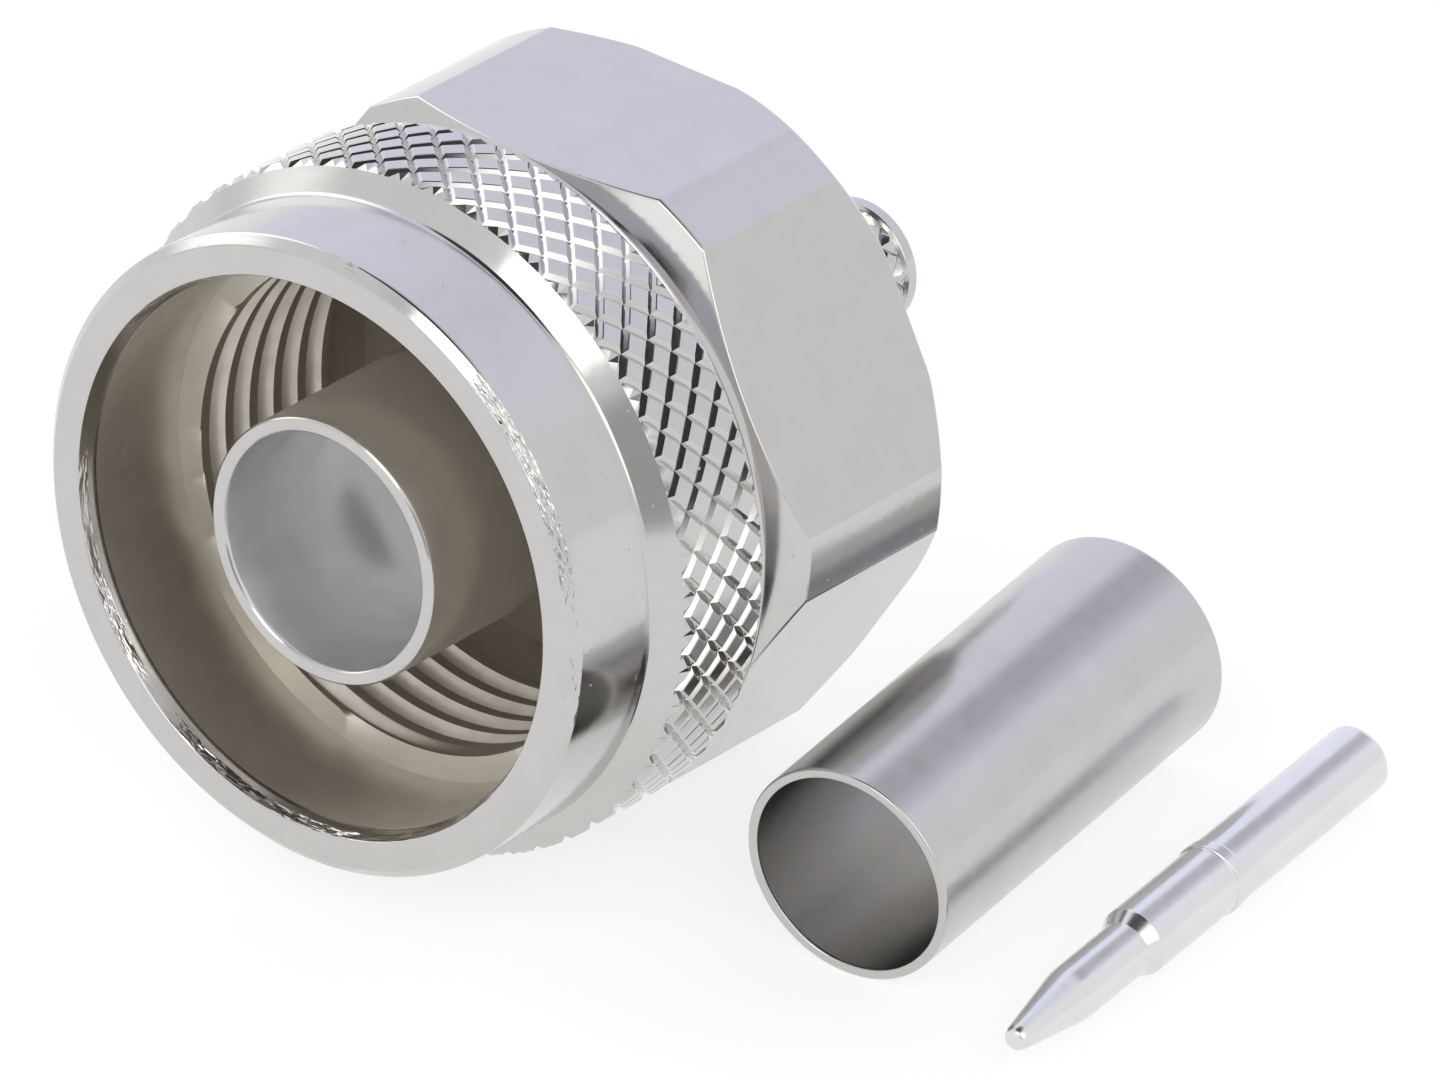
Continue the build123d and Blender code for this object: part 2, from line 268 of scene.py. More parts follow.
FRONT_LAMP = Patch((-0.06, -0.9, 0.43), (0.97, 0.99), (1.4, 1.4, 1.4))
DARK_TOP = Patch((0.0, -0.12, 0.99), (0.88, 0.93), (0.05, 0.05, 0.055))
TENT_PATCHES = (
    COOL_BACK,
    LEFT_LAMP,
    RIGHT_LAMP,
    FRONT_CORNER,
    GAP_LEFT,
    GAP_MIDDLE,
    GAP_RIGHT,
    FRONT_LAMP,
    DARK_TOP,
)

# A square lamp in front and above: its distance and size in metres
FRONT_BOX_DIRECTION = (0.13, -0.66, 0.74)
FRONT_BOX_DISTANCE = 0.5
FRONT_BOX_SIZE = 0.22
FRONT_BOX_STRENGTH = 1.6

# The table: its size in metres, and how it looks and how it lights
FLOOR_SIZE = 4
FLOOR_SHADOW = (0.3, 0.3, 0.3)
FLOOR_GLOW = (0.76, 0.76, 0.765)
FLOOR_PLAIN = (0.8, 0.8, 0.8)


def on_circle(turn, radius, depth):
    return Vector((radius * cos(turn), radius * sin(turn), depth))


def ring(depth, radius):
    """Points of a circle round z, starting on x."""
    return [on_circle(FULL_TURN * k / TURN_STEPS, radius, depth) for k in range(TURN_STEPS)]


def rounded(corners):
    """Profile points from corners of (depth, radius, rounding), each rounding as a short arc."""
    points = []
    for k, (depth, radius, rounding) in enumerate(corners):
        here = Vector((depth, radius))
        if not rounding:
            points.append(here)
            continue
        before = Vector(corners[k - 1][:2]) - here
        after = Vector(corners[(k + 1) % len(corners)][:2]) - here
        reach_before = before.normalized() * min(rounding, before.length * ARC_SHARE)
        reach_after = after.normalized() * min(rounding, after.length * ARC_SHARE)
        points.append(here + reach_before * ARC_RUN)
        for step in range(ARC_STEPS + 1):
            t = step / ARC_STEPS
            points.append(here + reach_before * (1 - t) ** 2 + reach_after * t ** 2)
        points.append(here + reach_after * ARC_RUN)
    return [(p.x, p.y) for p in points]


def add_ring(mesh, points):
    return [mesh.verts.new(p) for p in points]


def add_face(mesh, corners, slot):
    mesh.faces.new(corners).material_index = slot


def stitch(mesh, first, second, slot=OUTSIDE):
    """Faces between two rings: quads where they match, else triangles in order of angle."""
    if len(first) == len(second):
        for k in range(len(first)):
            m = (k + 1) % len(first)
            add_face(mesh, (first[k], first[m], second[m], second[k]), slot)
        return
    turn_first = [atan2(v.co.y, v.co.x) % FULL_TURN for v in first] + [FULL_TURN]
    turn_second = [atan2(v.co.y, v.co.x) % FULL_TURN for v in second] + [FULL_TURN]
    i = 0
    j = 0
    while i < len(first) or j < len(second):
        a = first[i % len(first)]
        b = second[j % len(second)]
        if j == len(second) or (i < len(first) and turn_first[i + 1] <= turn_second[j + 1]):
            i += 1
            add_face(mesh, (a, first[i % len(first)], b), slot)
        else:
            j += 1
            add_face(mesh, (a, second[j % len(second)], b), slot)


def turned(mesh, profile, closed=False, slot=OUTSIDE):
    """A skin of revolution through profile points of (depth, radius)."""
    rings = [add_ring(mesh, ring(depth, radius)) for depth, radius in profile]
    if closed:
        rings.append(rings[0])
    for first, second in zip(rings, rings[1:]):
        stitch(mesh, first, second, slot)
    return rings


def knurl_point(band, turn, place, u, v):
    """A point of one diamond: u and v run from groove to groove across it, -1 to 1."""
    half_turn = pi / band.count
    half_row = band.length / band.rows
    reach = max(abs(u), abs(v))
    rise = min(1, (1 - reach) / (1 - band.flat))
    depth = place + (u - v) / 2 * half_row
    root = band.crest - band.depth
    bevel = root + band.end_height + min(depth - band.start, band.start + band.length - depth)
    radius = min(root + band.depth * rise, max(bevel, root))
    return on_circle(turn + (u + v) / 2 * half_turn, radius, depth)


def diamond(mesh, band, row, step):
    """One diamond of a knurl, halved at the ends of the band; returns its vertices by grid place."""
    steps = [-1, -band.flat - band.edge, -band.flat + band.edge, 0]
    steps += [-s for s in reversed(steps[:-1])]
    middle = len(steps) // 2
    turn = (2 * step + row % 2) * pi / band.count
    place = band.start + row * band.length / band.rows
    grid = {}
    for i, u in enumerate(steps):
        for j, v in enumerate(steps):
            before_band = row == 0 and i < j
            past_band = row == band.rows and i > j
            if not before_band and not past_band:
                grid[i, j] = mesh.verts.new(knurl_point(band, turn, place, u, v))
    for i in range(len(steps) - 1):
        for j in range(len(steps) - 1):
            corners = [grid.get(c) for c in ((i, j), (i + 1, j), (i + 1, j + 1), (i, j + 1))]
            if (i < middle) != (j < middle):
                corners = corners[1:] + corners[:1]
            whole = [c for c in corners if c]
            if len(whole) == 4:
                add_face(mesh, (whole[0], whole[1], whole[2]), CRISP)
                add_face(mesh, (whole[0], whole[2], whole[3]), CRISP)
            elif len(whole) == 3:
                add_face(mesh, whole, CRISP)
    return grid, len(steps) - 1


def knurl(mesh, band):
    """A band of blunt diamonds between two helices; returns the rings at both its ends."""
    ends = {0: [], band.rows: []}
    for row in range(band.rows + 1):
        for step in range(band.count):
            grid, last = diamond(mesh, band, row, step)
            if row in ends:
                ends[row].extend(grid[k, k] for k in range(last))
    return from_zero(ends[0]), from_zero(ends[band.rows])


def from_zero(vertices):
    """The vertices of a ring, in order of their angle from x."""
    return sorted(vertices, key=lambda v: (atan2(v.co.y, v.co.x) + TINY) % FULL_TURN)


def thread_radius(depth, phase, fade):
    """Radius of the threaded wall; phase 0 is the middle of a groove, half a pitch a crest."""
    off_middle = min(phase, 1 - phase)
    groove = min(1, max(0, (GROOVE_HALF_WIDTH - off_middle) / GROOVE_FLANK))
    cut = THREAD_MINOR_RADIUS + (THREAD_MAJOR_RADIUS - THREAD_MINOR_RADIUS) * groove * fade
    slope_in = (MOUTH_RADIUS - THREAD_MINOR_RADIUS) / THREAD_RUN_IN
    slope_out = (RELIEF_RADIUS - THREAD_MINOR_RADIUS) / RELIEF_RUN
    run_in = MOUTH_RADIUS - (depth - MOUTH_DEPTH) * slope_in
    run_out = RELIEF_RADIUS - (THREAD_END - depth) * slope_out
    return max(cut, run_in, run_out)


def thread_column(mesh, rows, share):
    """The thread's vertices at one share of a turn: rows that climb a pitch with every turn."""
    column = []
    for row in rows:
        depth = MOUTH_DEPTH + (row + share + THREAD_SHIFT) * THREAD_PITCH
        depth = min(max(depth, MOUTH_DEPTH), THREAD_END)
        along_helix = floor(row + 0.5) + share - THREAD_START_TURN
        fade = min(1, max(0, along_helix / THREAD_FADE_TURN))
        radius = thread_radius(depth, row % 1, fade)
        column.append(mesh.verts.new(on_circle(FULL_TURN * share, radius, depth)))
    return column


def thread(mesh):
    """The coupling thread, cut off at both ends; returns the rings at both its ends."""
    turns = ceil((THREAD_END - MOUTH_DEPTH) / THREAD_PITCH) + 2
    rows = [turn + phase for turn in range(-2, turns) for phase in THREAD_PHASES]
    columns = [thread_column(mesh, rows, k / TURN_STEPS) for k in range(TURN_STEPS)]
    last = len(rows) - 1
    for k in range(TURN_STEPS):
        here = columns[k]
        other = columns[(k + 1) % TURN_STEPS]
        shift = len(THREAD_PHASES) if k + 1 == TURN_STEPS else 0
        for m in range(last):
            near = other[min(m + shift, last)]
            far = other[min(m + 1 + shift, last)]
            if near is far:
                add_face(mesh, (here[m], here[m + 1], near), INSIDE)
            else:
                add_face(mesh, (here[m], here[m + 1], far, near), INSIDE)
    return [column[0] for column in columns], [column[-1] for column in columns]


def hexagon_turns():
    """Angles round the hexagon, closer together at the edges of its six flats."""
    edge = acos(HEX_APOTHEM / HEX_CORNER_RADIUS)
    half_side = pi / 6
    flat = [edge * k / HEX_FLAT_STEPS for k in range(1 - HEX_FLAT_STEPS, HEX_FLAT_STEPS)]
    sector = [t for t in flat if abs(t) < edge - HEX_EDGE_TURN]
    for side in (-1, 1):
        sector += [side * (edge + k * HEX_EDGE_TURN) for k in (-1, 0, 1)]
        land = (half_side - edge - HEX_EDGE_TURN) / HEX_LAND_STEPS
        sector += [side * (half_side - land * k) for k in range(1, HEX_LAND_STEPS)]
    sector.append(half_side)
    turns = [(half_side + k * 2 * half_side + t) % FULL_TURN for k in range(6) for t in sector]
    return sorted(t if FULL_TURN - t > TINY else 0 for t in turns)


def hexagon_column(turn):
    """Profile of the hexagon at one angle, from its front chamfer to its rear face."""
    off = turn % (pi / 3) - pi / 6
    flat = min(HEX_APOTHEM / cos(off), HEX_CORNER_RADIUS)
    front_share = (flat - NECK_RADIUS) / (HEX_CORNER_RADIUS - NECK_RADIUS)
    rear_share = max(0, flat - HEX_REAR_RADIUS) / (HEX_CORNER_RADIUS - HEX_REAR_RADIUS)
    front = Vector((HEX_START, NECK_RADIUS))
    crease = Vector((HEX_START + HEX_CHAMFER_WIDTH * front_share, flat))
    rear_crease = Vector((NUT_LENGTH - HEX_REAR_CHAMFER_WIDTH * rear_share, flat))
    rear = Vector((NUT_LENGTH, min(flat, HEX_REAR_RADIUS)))
    back = Vector((HEX_EDGE, 0))
    inward = Vector((0, -HEX_EDGE))
    cone = (crease - front) * HEX_EDGE_SHARE
    cone = cone.normalized() * min(HEX_EDGE, cone.length)
    slant = rear - rear_crease
    if slant.length > HEX_EDGE:
        slant = slant.normalized() * min(HEX_EDGE, slant.length * HEX_EDGE_SHARE)
        rear_points = [
            rear_crease + (slant - back) * HEX_EDGE_CUT,
            rear_crease + slant,
            rear - slant,
            rear + (inward - slant) * HEX_EDGE_CUT,
        ]
    else:
        rear_points = [rear + (inward - back) * HEX_EDGE_CUT] * 4
    return [
        front,
        crease - cone * HEX_EDGE_RUN,
        crease - cone,
        crease + (back - cone) * HEX_EDGE_CUT,
        crease + back,
        crease + back * HEX_EDGE_RUN,
        rear_crease - back * HEX_EDGE_RUN,
        rear_crease - back,
        *rear_points,
        rear + inward,
        rear + inward * HEX_EDGE_RUN,
    ]


def hexagon(mesh):
    """The hexagon's skin: turned front chamfer, flats with turned corners, rear chamfer, rear face."""
    turns = hexagon_turns()
    columns = [[on_circle(turn, p.y, p.x) for p in hexagon_column(turn)] for turn in turns]
    rings = [add_ring(mesh, points) for points in zip(*columns)]
    for first, second in zip(rings, rings[1:]):
        stitch(mesh, first, second)
    return rings[0], rings[-1]


def nut_mesh():
    """The coupling nut as one closed skin."""
    mesh = bmesh.new()
    mouth_start = MOUTH_LEAD_IN_DEPTH + JOIN_GAP
    mouth = turned(mesh, [(MOUTH_DEPTH - JOIN_GAP, MOUTH_RADIUS), (mouth_start, MOUTH_RADIUS)], slot=INSIDE)
    outside = turned(mesh, rounded([
        (mouth_start, MOUTH_RADIUS, 0),
        (MOUTH_LEAD_IN_DEPTH, MOUTH_RADIUS, SMALL_EDGE),
        (0, MOUTH_RADIUS + MOUTH_LEAD_IN, SMALL_EDGE),
        (0, BARREL_RADIUS - RIM_CHAMFER, SMALL_EDGE),
        (RIM_CHAMFER, BARREL_RADIUS, SMALL_EDGE),
        (BARREL_LENGTH, BARREL_RADIUS, INNER_CORNER),
        (NUT_KNURL.start, NUT_KNURL.crest - NUT_KNURL.depth + NUT_KNURL.end_height, 0),
    ]))
    knurl_front, knurl_back = knurl(mesh, NUT_KNURL)
    neck = turned(mesh, rounded([
        (KNURL_END, LIP_RADIUS - FINE_EDGE, 0),
        (KNURL_END + FINE_EDGE, LIP_RADIUS, 0),
        (LIP_END - LIP_BEVEL, LIP_RADIUS, FINE_EDGE),
        (LIP_END, LIP_RADIUS - LIP_BEVEL, FINE_EDGE),
        (LIP_END, NECK_RADIUS, SMALL_EDGE),
        (HEX_START - JOIN_GAP, NECK_RADIUS, 0),
    ]))
    hex_front, hex_back = hexagon(mesh)
    rear = turned(mesh, rounded([
        (NUT_LENGTH, WALL_RADIUS + WALL_EDGE, 0),
        (NUT_LENGTH - WALL_EDGE, WALL_RADIUS, SMALL_EDGE),
        (WALL_START, WALL_RADIUS, SMALL_EDGE),
        (WALL_START, RELIEF_RADIUS, INNER_CORNER),
        (THREAD_END, RELIEF_RADIUS, 0),
    ]), slot=EXTRA)
    thread_front, thread_back = thread(mesh)
    stitch(mesh, outside[-1], knurl_front)
    stitch(mesh, knurl_back, neck[0])
    stitch(mesh, neck[-1], hex_front)
    stitch(mesh, hex_back, rear[0])
    stitch(mesh, rear[-1], thread_back, EXTRA)
    stitch(mesh, thread_front, mouth[0], INSIDE)
    return mesh


def body_mesh():
    """The rear body and its crimp stem with fine diamonds."""
    mesh = bmesh.new()
    knurl_root = STEM_RADIUS - STEM_KNURL.depth + STEM_KNURL.end_height
    lip_radius = STEM_RADIUS - STEM_LIP_DROP
    lip_start = STEM_END - STEM_LIP
    front = turned(mesh, rounded([
        (SLEEVE_END, STEM_BORE, 0),
        (SLEEVE_END, SLEEVE_RADIUS, 0),
        (FLANGE_END, SLEEVE_RADIUS, 0),
        (FLANGE_END, BODY_RADIUS, SMALL_EDGE),
        (BODY_END, BODY_RADIUS, BODY_EDGE),
        (BODY_END, STEM_RADIUS, INNER_CORNER),
        (STEM_KNURL.start, knurl_root, 0),
    ]))
    knurl_front, knurl_back = knurl(mesh, STEM_KNURL)
    back = turned(mesh, rounded([
        (lip_start, knurl_root, 0),
        (lip_start + JOIN_GAP, lip_radius, FINE_EDGE),
        (STEM_END, lip_radius, INNER_CORNER),
        (STEM_END, STEM_BORE, FINE_EDGE),
        (SLEEVE_END, STEM_BORE, 0),
    ]))
    stitch(mesh, front[-1], knurl_front)
    stitch(mesh, knurl_back, back[0])
    return mesh


def contact_mesh():
    """The outer contact: the front tube with its seats, the flange and the sleeve."""
    mesh = bmesh.new()
    face = turned(mesh, rounded([
        (TUBE_FRONT + TUBE_EDGE, TUBE_BORE, FINE_EDGE),
        (TUBE_FRONT, TUBE_BORE + TUBE_EDGE, FINE_EDGE),
        (TUBE_FRONT, TUBE_RADIUS - TUBE_EDGE, FINE_EDGE),
        (TUBE_FRONT + TUBE_EDGE, TUBE_RADIUS, FINE_EDGE),
    ]), slot=EXTRA)
    outside = turned(mesh, rounded([
        (TUBE_FRONT + TUBE_EDGE * 2, TUBE_RADIUS, 0),
        (GASKET_SEAT_START, TUBE_RADIUS, 0),
        (GASKET_SEAT_START, GASKET_SEAT_RADIUS, 0),
        (FLANGE_START, GASKET_SEAT_RADIUS, 0),
        (FLANGE_START, FLANGE_RADIUS, SMALL_EDGE),
        (FLANGE_END, FLANGE_RADIUS, SMALL_EDGE),
        (FLANGE_END, SLEEVE_RADIUS, 0),
        (SLEEVE_END, SLEEVE_RADIUS, 0),
        (SLEEVE_END, COLLAR_RADIUS, 0),
        (COLLAR_START, COLLAR_RADIUS, 0),
        (COLLAR_START, BEAD_SEAT_RADIUS, 0),
        (BEAD_SEAT_START, BEAD_SEAT_RADIUS, 0),
    ]))
    bore = turned(mesh, [
        (BEAD_SEAT_START, BEAD_SEAT_RADIUS),
        (BEAD_SEAT_START, TUBE_BORE),
        (TUBE_FRONT + TUBE_EDGE * 2, TUBE_BORE),
    ], slot=INSIDE)
    stitch(mesh, bore[-1], face[0], INSIDE)
    stitch(mesh, face[-1], outside[0])
    return mesh


def ferrule_mesh():
    """The crimp ferrule, a plain thin tube."""
    mesh = bmesh.new()
    turned(mesh, rounded([
        (FERRULE_LENGTH / 2, FERRULE_BORE, 0),
        (0, FERRULE_BORE, FERRULE_EDGE),
        (0, FERRULE_RADIUS, FERRULE_EDGE),
        (FERRULE_LENGTH, FERRULE_RADIUS, FERRULE_EDGE),
        (FERRULE_LENGTH, FERRULE_BORE, FERRULE_EDGE),
        (FERRULE_LENGTH / 2, FERRULE_BORE, 0),
    ]))
    return mesh


def pin_mesh():
    """The centre contact: tapered nose, conical shoulder, body, small ring and tail."""
    mesh = bmesh.new()
    shoulder_end = PIN_NOSE + PIN_SHOULDER
    ring_start = shoulder_end + PIN_BODY
    ring_end = ring_start + PIN_RING
    pin_end = ring_end + PIN_TAIL
    turned(mesh, rounded([
        (0, 0, 0),
        (0, PIN_TIP_RADIUS, PIN_TIP_ROUNDING),
        (PIN_TAPER, PIN_NOSE_RADIUS, PIN_TIP_ROUNDING),
        (PIN_NOSE, PIN_NOSE_RADIUS, FINE_EDGE),
        (shoulder_end, PIN_BODY_RADIUS, SMALL_EDGE),
        (ring_start, PIN_BODY_RADIUS, FINE_EDGE),
        (ring_start + FINE_EDGE, PIN_RING_RADIUS, FINE_EDGE),
        (ring_end - SMALL_EDGE, PIN_RING_RADIUS, FINE_EDGE),
        (ring_end, PIN_TAIL_RADIUS, FINE_EDGE),
        (pin_end, PIN_TAIL_RADIUS, PIN_TAIL_ROUNDING),
        (pin_end, PIN_WIRE_BORE, SMALL_EDGE),
        (pin_end - PIN_WIRE_DEPTH, PIN_WIRE_BORE, 0),
        (pin_end - PIN_WIRE_DEPTH, 0, 0),
    ]), closed=True)
    return mesh


def link(tree, from_socket, to_socket):
    tree.links.new(from_socket, to_socket)


def noise(tree, vector, scale, detail=NOISE_DETAIL):
    """Noise between 0 and 1, scale in waves per metre."""
    texture = tree.nodes.new("ShaderNodeTexNoise")
    texture.inputs["Scale"].default_value = scale
    texture.inputs["Detail"].default_value = detail
    texture.inputs["Roughness"].default_value = NOISE_ROUGHNESS
    link(tree, vector, texture.inputs["Vector"])
    return texture.outputs["Fac"]


def mapped(tree, value, source, target, smooth=False):
    """Maps a value from one range to another."""
    node = tree.nodes.new("ShaderNodeMapRange")
    if smooth:
        node.interpolation_type = "SMOOTHSTEP"
    node.inputs["From Min"].default_value, node.inputs["From Max"].default_value = source
    node.inputs["To Min"].default_value, node.inputs["To Max"].default_value = target
    link(tree, value, node.inputs["Value"])
    return node.outputs["Result"]


def bump(tree, height, strength, distance, normal=None):
    """Bends the normal by a height map, on top of an earlier bump where there is one."""
    node = tree.nodes.new("ShaderNodeBump")
    if isinstance(strength, float):
        node.inputs["Strength"].default_value = strength
    else:
        link(tree, strength, node.inputs["Strength"])
    node.inputs["Distance"].default_value = distance
    link(tree, height, node.inputs["Height"])
    if normal:
        link(tree, normal, node.inputs["Normal"])
    return node.outputs["Normal"]


def tinted(tree, factor, first, second):
    """Mixes two plain colours, or a colour socket and a plain colour."""
    mix = tree.nodes.new("ShaderNodeMix")
    mix.data_type = "RGBA"
    link(tree, factor, mix.inputs["Factor"])
    if isinstance(first, tuple):
        mix.inputs["A"].default_value = (*first, 1)
    else:
        link(tree, first, mix.inputs["A"])
    mix.inputs["B"].default_value = (*second, 1)
    return mix.outputs["Result"]


def new_material(name):
    material = bpy.data.materials.new(name)
    material.use_nodes = True
    return material, material.node_tree, material.node_tree.nodes["Principled BSDF"]


def maths(tree, operation, first, second):
    """A maths node between a socket and either a socket or a plain number."""
    node = tree.nodes.new("ShaderNodeMath")
    node.operation = operation
    link(tree, first, node.inputs[0])
    if isinstance(second, float):
        node.inputs[1].default_value = second
    else:
        link(tree, second, node.inputs[1])
    return node.outputs[0]


def combined(tree, sockets):
    """A vector made of up to three sockets."""
    node = tree.nodes.new("ShaderNodeCombineXYZ")
    for k, socket in enumerate(sockets):
        link(tree, socket, node.inputs[k])
    return node.outputs[0]


def streaked(tree, place, coordinates, radius, strength, normal):
    """Bends the normal by streaks that run here and there along the chamfers of the rim."""
    x, y, z = coordinates
    behind_face = mapped(tree, z, BURR_START, (0, strength))
    on_chamfer = maths(tree, "MULTIPLY", behind_face, mapped(tree, z, BURR_END, (1, 0)))
    slow = noise(tree, place, BURR_SPREAD_SCALE, BURR_SPREAD_DETAIL)
    spread = mapped(tree, slow, BURR_SPREAD_RANGE, (0, 1))
    along_rim = maths(tree, "MULTIPLY", maths(tree, "ARCTAN2", y, x), BURR_RADIAN)
    streak = noise(tree, combined(tree, (along_rim, radius, z)), BURR_SCALE)
    return bump(tree, streak, maths(tree, "MULTIPLY", on_chamfer, spread), BURR_HEIGHT, normal)


def nickel(name, plating):
    """Nickel plating: turning marks round the axis, faint waves, small nicks and uneven gloss."""
    material, tree, shader = new_material(name)
    shader.inputs["Metallic"].default_value = plating.metallic
    place = tree.nodes.new("ShaderNodeTexCoord").outputs["Object"]
    split = tree.nodes.new("ShaderNodeSeparateXYZ")
    link(tree, place, split.inputs[0])
    x, y, z = split.outputs
    length = tree.nodes.new("ShaderNodeVectorMath")
    length.operation = "LENGTH"
    link(tree, combined(tree, (x, y)), length.inputs[0])
    radius = length.outputs["Value"]
    nick = mapped(tree, noise(tree, place, NICK_SCALE, FINE_DETAIL), NICK_RANGE, (0, 1))
    mark = noise(tree, combined(tree, (radius, z)), MARK_SCALE)
    normal = bump(tree, noise(tree, place, WAVE_SCALE), plating.waves, WAVE_HEIGHT)
    normal = bump(tree, mark, plating.marks, MARK_HEIGHT, normal)
    normal = bump(tree, nick, plating.nicks, MARK_HEIGHT, normal)
    if plating.burr:
        normal = streaked(tree, place, (x, y, z), radius, plating.burr, normal)
    link(tree, normal, shader.inputs["Normal"])
    spread = tuple(plating.roughness * share for share in GLOSS_SPREAD)
    roughness = mapped(tree, noise(tree, place, GLOSS_SCALE), MIDDLE_RANGE, spread)
    link(tree, roughness, shader.inputs["Roughness"])
    patches = mapped(tree, noise(tree, place, PATCH_SCALE, FINE_DETAIL), MIDDLE_RANGE, (0, 1))
    shade = tuple(c * PATCH_SHADE for c in plating.colour)
    link(tree, tinted(tree, patches, shade, plating.colour), shader.inputs["Base Color"])
    return material


def soft_material(name, colour, roughness, strength):
    """Plastic or rubber with a faint grain."""
    material, tree, shader = new_material(name)
    shader.inputs["Roughness"].default_value = roughness
    place = tree.nodes.new("ShaderNodeTexCoord").outputs["Object"]
    grain = noise(tree, place, GRAIN_SCALE)
    link(tree, bump(tree, grain, strength, MARK_HEIGHT), shader.inputs["Normal"])
    shade = tuple(c * GRAIN_SHADE for c in colour)
    link(tree, tinted(tree, grain, shade, colour), shader.inputs["Base Color"])
    return material


def placed(origin, along):
    """The frame of a piece whose front end is at origin and whose axis runs along."""
    down = along.cross(Vector((1, 0, 0))).normalized()
    side = down.cross(along)
    turn = Matrix((side, down, along)).transposed().to_4x4()
    return Matrix.Translation(origin) @ turn


def mark_edges(mesh):
    """Smooth shading, with sharp edges where a fold is steep; a knurl's facets stay crisp."""
    for face in mesh.faces:
        face.smooth = True
    for edge in mesh.edges:
        crisp = all(face.material_index == CRISP for face in edge.link_faces)
        edge.smooth = edge.calc_face_angle(0) < (CRISP_ANGLE if crisp else SHARP_ANGLE)


def piece(name, mesh, place, materials, node, body):
    """Finishes a mesh, puts it in place and lets it stand for its CAD node."""
    bmesh.ops.remove_doubles(mesh, verts=mesh.verts, dist=WELD)
    bmesh.ops.dissolve_degenerate(mesh, edges=mesh.edges, dist=WELD)
    bmesh.ops.recalc_face_normals(mesh, faces=mesh.faces)
    mark_edges(mesh)
    data = bpy.data.meshes.new(name)
    mesh.to_mesh(data)
    mesh.free()
    data.transform(Matrix.Diagonal((MM, MM, MM, 1)))
    for material in materials:
        data.materials.append(material)
    made = bpy.data.objects.new(name, data)
    bpy.context.scene.collection.objects.link(made)
    made.matrix_world = place
    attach(made, body)
    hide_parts(node)


def mount(name):
    """Position and axis of one of the record's mounts."""
    found = [m for m in frame["record"]["mounts"] if m["name"] == name][0]
    return Vector(found["pos_m"]), Vector(found["axis"]).normalized()


def place_camera(rim):
    """The photograph's camera, from where the rim's middle stands in the picture."""
    turn = radians(CAMERA_AZIMUTH)
    rise = radians(CAMERA_ELEVATION)
    roll = radians(CAMERA_ROLL)
    level = Vector((cos(turn), sin(turn), 0))
    ahead = Vector((-sin(turn), cos(turn), 0))
    forward = ahead * cos(rise) - UP * sin(rise)
    above = ahead * sin(rise) + UP * cos(rise)
    right = level * cos(roll) + above * sin(roll)
    up = above * cos(roll) - level * sin(roll)
    pixel = MM / PIXELS_PER_MM
    across = (RIM_PIXEL[0] - PICTURE_WIDTH / 2) * pixel
    below = (RIM_PIXEL[1] - PICTURE_HEIGHT / 2) * pixel
    data = bpy.data.cameras.new("camera")
    data.sensor_width = SENSOR_WIDTH
    data.lens = FOCAL_PIXELS / PICTURE_WIDTH * SENSOR_WIDTH
    data.clip_start = CAMERA_CLIP_START
    camera = bpy.data.objects.new("camera", data)
    bpy.context.scene.collection.objects.link(camera)
    place = Matrix((right, up, -forward)).transposed().to_4x4()
    place.translation = rim - right * across + up * below - forward * FOCAL_PIXELS * pixel
    camera.matrix_world = place
    bpy.context.scene.camera = camera


def place_front_box():
    """A square lamp that lights the object and is seen only in reflections."""
    data = bpy.data.lights.new("front_box", "AREA")
    data.size = FRONT_BOX_SIZE
    data.energy = FRONT_BOX_STRENGTH * pi * FRONT_BOX_SIZE ** 2
    lamp = bpy.data.objects.new("front_box", data)
    bpy.context.scene.collection.objects.link(lamp)
    direction = Vector(FRONT_BOX_DIRECTION).normalized()
    lamp.location = direction * FRONT_BOX_DISTANCE
    lamp.rotation_mode = "QUATERNION"
    lamp.rotation_quaternion = direction.to_track_quat("Z", "Y")
    lamp.visible_camera = False


def make_world():
    """A light tent: pale walls with bright, cool and dark patches."""
    world = bpy.data.worlds.new("tent")
    bpy.context.scene.world = world
    world.use_nodes = True
    tree = world.node_tree
    place = tree.nodes.new("ShaderNodeTexCoord").outputs["Generated"]
    colour = TENT_WALLS
    for patch in TENT_PATCHES:
        dot = tree.nodes.new("ShaderNodeVectorMath")
        dot.operation = "DOT_PRODUCT"
        dot.inputs[1].default_value = Vector(patch.direction).normalized()
        link(tree, place, dot.inputs[0])
        near = mapped(tree, dot.outputs["Value"], patch.cosines, (0, 1), smooth=True)
        colour = tinted(tree, near, colour, patch.colour)
    link(tree, colour, tree.nodes["Background"].inputs["Color"])


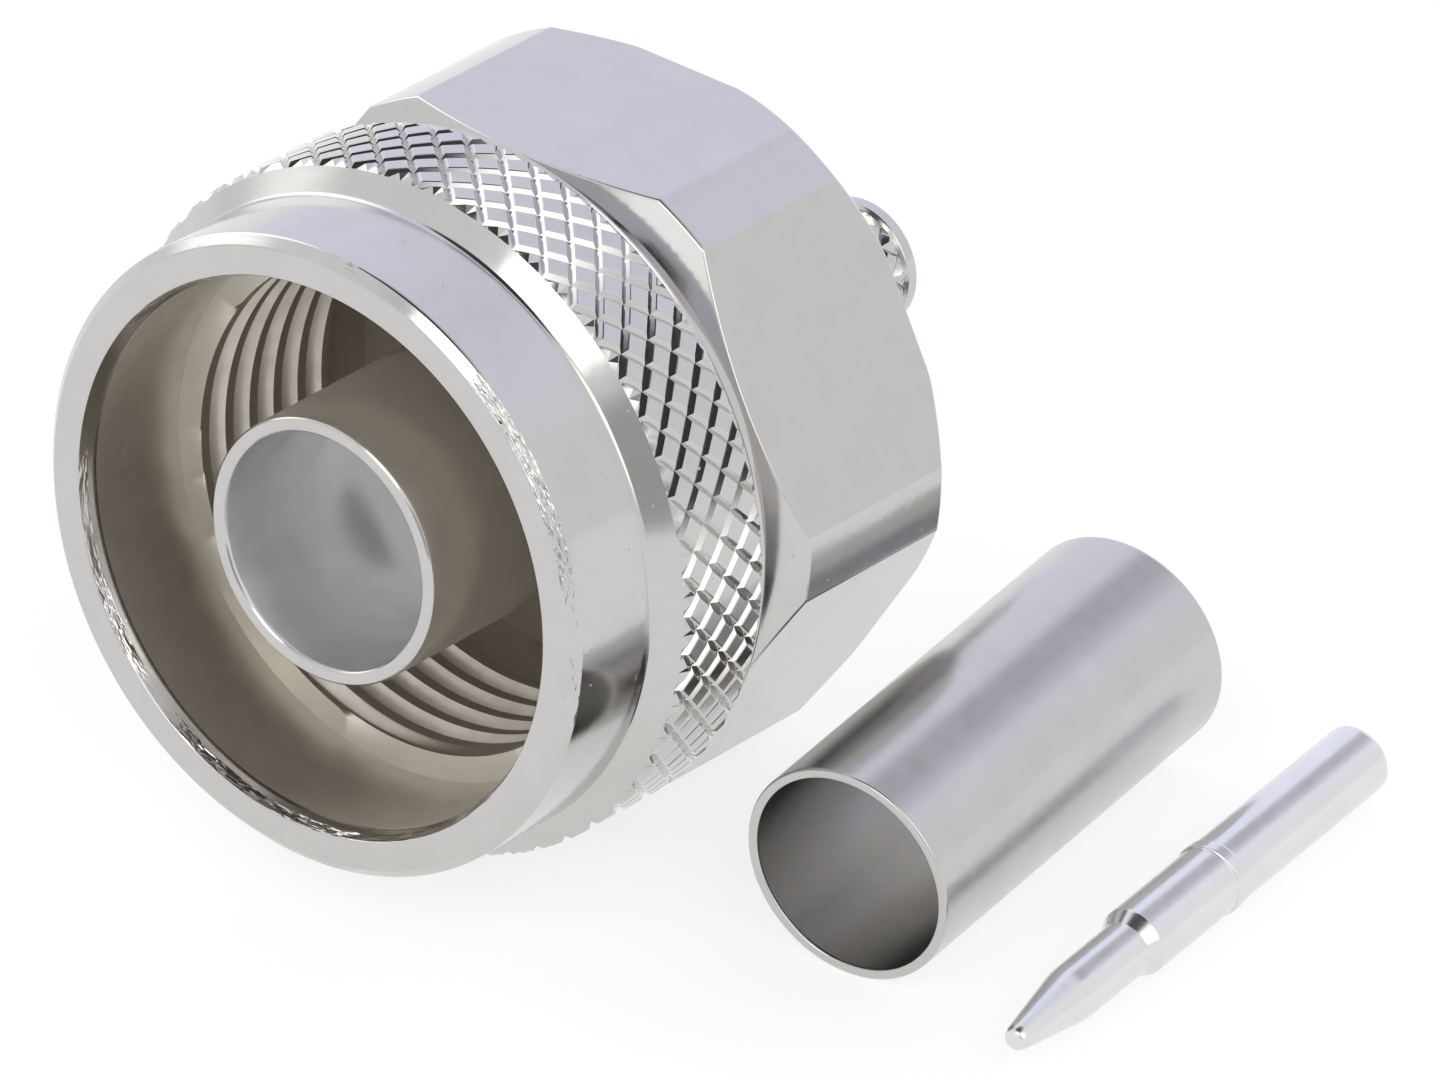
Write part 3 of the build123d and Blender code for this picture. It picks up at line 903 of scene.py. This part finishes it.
def make_floor():
    """A white table that keeps a faint shadow, white to the camera, to gloss and to glass."""
    bpy.ops.mesh.primitive_plane_add(size=FLOOR_SIZE, location=(0, 0, 0))
    floor = bpy.context.object
    floor.name = "floor"
    material = bpy.data.materials.new("white_table")
    material.use_nodes = True
    tree = material.node_tree
    nodes = tree.nodes
    nodes.clear()
    matt = nodes.new("ShaderNodeBsdfDiffuse")
    matt.inputs["Color"].default_value = (*FLOOR_SHADOW, 1)
    glow = nodes.new("ShaderNodeEmission")
    glow.inputs["Color"].default_value = (*FLOOR_GLOW, 1)
    seen = nodes.new("ShaderNodeAddShader")
    link(tree, matt.outputs[0], seen.inputs[0])
    link(tree, glow.outputs[0], seen.inputs[1])
    plain = nodes.new("ShaderNodeBsdfDiffuse")
    plain.inputs["Color"].default_value = (*FLOOR_PLAIN, 1)
    path = nodes.new("ShaderNodeLightPath")
    either = path.outputs["Is Camera Ray"]
    for ray in ("Is Glossy Ray", "Is Transmission Ray"):
        either = maths(tree, "MAXIMUM", either, path.outputs[ray])
    mix = nodes.new("ShaderNodeMixShader")
    link(tree, either, mix.inputs["Fac"])
    link(tree, plain.outputs[0], mix.inputs[1])
    link(tree, seen.outputs[0], mix.inputs[2])
    out = nodes.new("ShaderNodeOutputMaterial")
    link(tree, mix.outputs[0], out.inputs["Surface"])
    floor.data.materials.append(material)


# The plug's axis is the nut's own joint; the loose pieces are placed by their bores
spin = frame["joints"][0]
rim = Vector(spin["pos_m"])
plug = placed(rim, Vector(spin["axis"]).normalized())
ferrule_middle, ferrule_along = mount("ferrule_bore")
ferrule = placed(ferrule_middle - ferrule_along * FERRULE_LENGTH / 2 * MM, ferrule_along)
wire_middle, pin_along = mount("wire_bore")
pin_length = PIN_NOSE + PIN_SHOULDER + PIN_BODY + PIN_RING + PIN_TAIL
pin = placed(wire_middle - pin_along * (pin_length - PIN_WIRE_DEPTH / 2) * MM, pin_along)

nut_nickel = nickel("nut_nickel", NUT_PLATING)
inner_nickel = nickel("inner_nickel", INNER_PLATING)
tube_painted_light = nickel("tube_painted_light", TUBE_PAINTED_LIGHT_PLATING)
relief_painted_light = nickel("relief_painted_light", RELIEF_PAINTED_LIGHT_PLATING)
bore_painted_light = nickel("bore_painted_light", BORE_PAINTED_LIGHT_PLATING)
stem_nickel = nickel("stem_nickel", STEM_PLATING)
ferrule_nickel = nickel("ferrule_nickel", FERRULE_PLATING)
pin_nickel = nickel("pin_nickel", PIN_PLATING)
ring_steel = nickel("ring_steel", SPRING_PLATING)
bead_plastic = soft_material("bead_plastic", BEAD_WHITE, BEAD_ROUGHNESS, BEAD_GRAIN)
gasket_rubber = soft_material("gasket_rubber", RUBBER_BROWN, RUBBER_ROUGHNESS, RUBBER_GRAIN)

# The nut's last slot, its rear bore and the relief behind the thread, takes the lighter relief plating: painted
# light in the shade inside the nut
nut_finish = (nut_nickel, inner_nickel, nut_nickel, relief_painted_light)
piece("coupling_nut_skin", nut_mesh(), plug, nut_finish, "coupling_nut", "nut")
stem_finish = (stem_nickel, stem_nickel, stem_nickel)
piece("body_skin", body_mesh(), plug, stem_finish, "body", "plug")
# The contact's outside and its bore take lighter, less metallic copies of the nickel, painted light in the shade
# of the nut's mouth; its front face takes the nut's own nickel
tube_finish = (tube_painted_light, bore_painted_light, tube_painted_light, nut_nickel)
piece("outer_contact_skin", contact_mesh(), plug, tube_finish, "outer_contact", "plug")
ferrule_finish = (ferrule_nickel,)
piece("crimp_ferrule_skin", ferrule_mesh(), ferrule, ferrule_finish, "crimp_ferrule", "plug")
piece("centre_contact_skin", pin_mesh(), pin, (pin_nickel,), "centre_contact", "plug")

carried_over = {"insulator": bead_plastic, "gasket": gasket_rubber, "snap_ring": ring_steel}
for node, material in carried_over.items():
    data = frame["nodes"][node].data
    data.materials.clear()
    data.materials.append(material)

place_camera(rim)
make_world()
make_floor()
place_front_box()

bpy.context.scene.view_settings.view_transform = "Standard"
